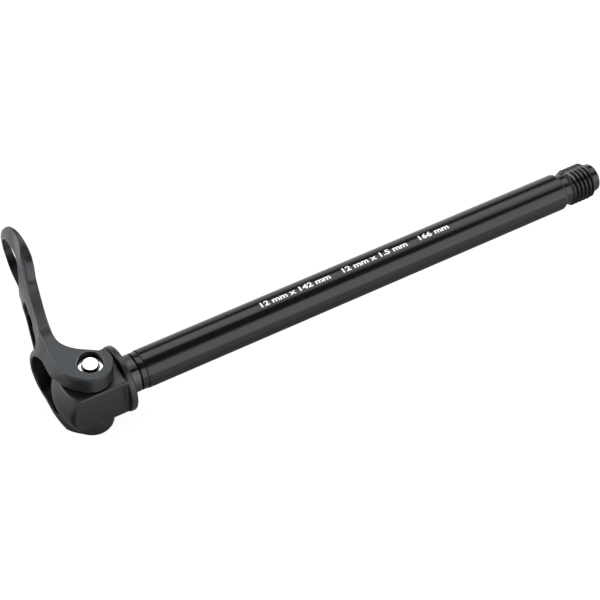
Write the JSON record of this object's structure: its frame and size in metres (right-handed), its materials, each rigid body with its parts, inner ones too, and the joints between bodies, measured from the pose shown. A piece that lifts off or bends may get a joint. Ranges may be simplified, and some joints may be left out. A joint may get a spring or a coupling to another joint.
{
  "type": "bicycle thru axle",
  "caption": "Bicycle thru axle in satin black aluminium: plain shaft with a threaded end, and a cam lever that draws a flanged housing against the dropout.",
  "frame": {"origin": "centre of the flange's clamping face, on the axle's axis", "axes": "+X along the axle from the head to the threaded end, +Y the way the closed lever points, +Z along the cam pin to its upper end"},
  "size_m": [0.1935, 0.0759, 0.0276],
  "materials": {
    "shaft_black": "satin black anodised, turned",
    "lever_black": "satin black anodised, bead blasted",
    "collar_plastic": "matte moulded",
    "pin_steel": "turned, bright end",
    "bush_brass": "plain turned",
    "ring_steel": "bright spring steel"
  },
  "bodies": {
    "axle": {"axle_shaft": "shaft_black", "split_collar": "collar_plastic"},
    "housing": {"cam_housing": "lever_black", "pin_bush_top": "bush_brass", "pin_bush_low": "bush_brass"},
    "lever": {"cam_lever": "lever_black", "cam_pin": "pin_steel", "pin_ring": "ring_steel", "ear_washer_top": "collar_plastic", "ear_washer_low": "collar_plastic"}
  },
  "joints": [
    {"name": "housing_slide", "type": "slide", "parent": "axle", "child": "housing", "axis": [1, 0, 0], "range_m": [-0.00131, 0]},
    {"name": "lever_hinge", "type": "hinge", "parent": "housing", "child": "lever", "pos_m": [-0.01042, 0, 0], "axis": [0, 0, 1], "range_deg": [0, 150]}
  ],
  "couplings": [
    {"joint": "lever_hinge", "follows": "housing_slide", "rad_per_m": -2004.3}
  ]
}
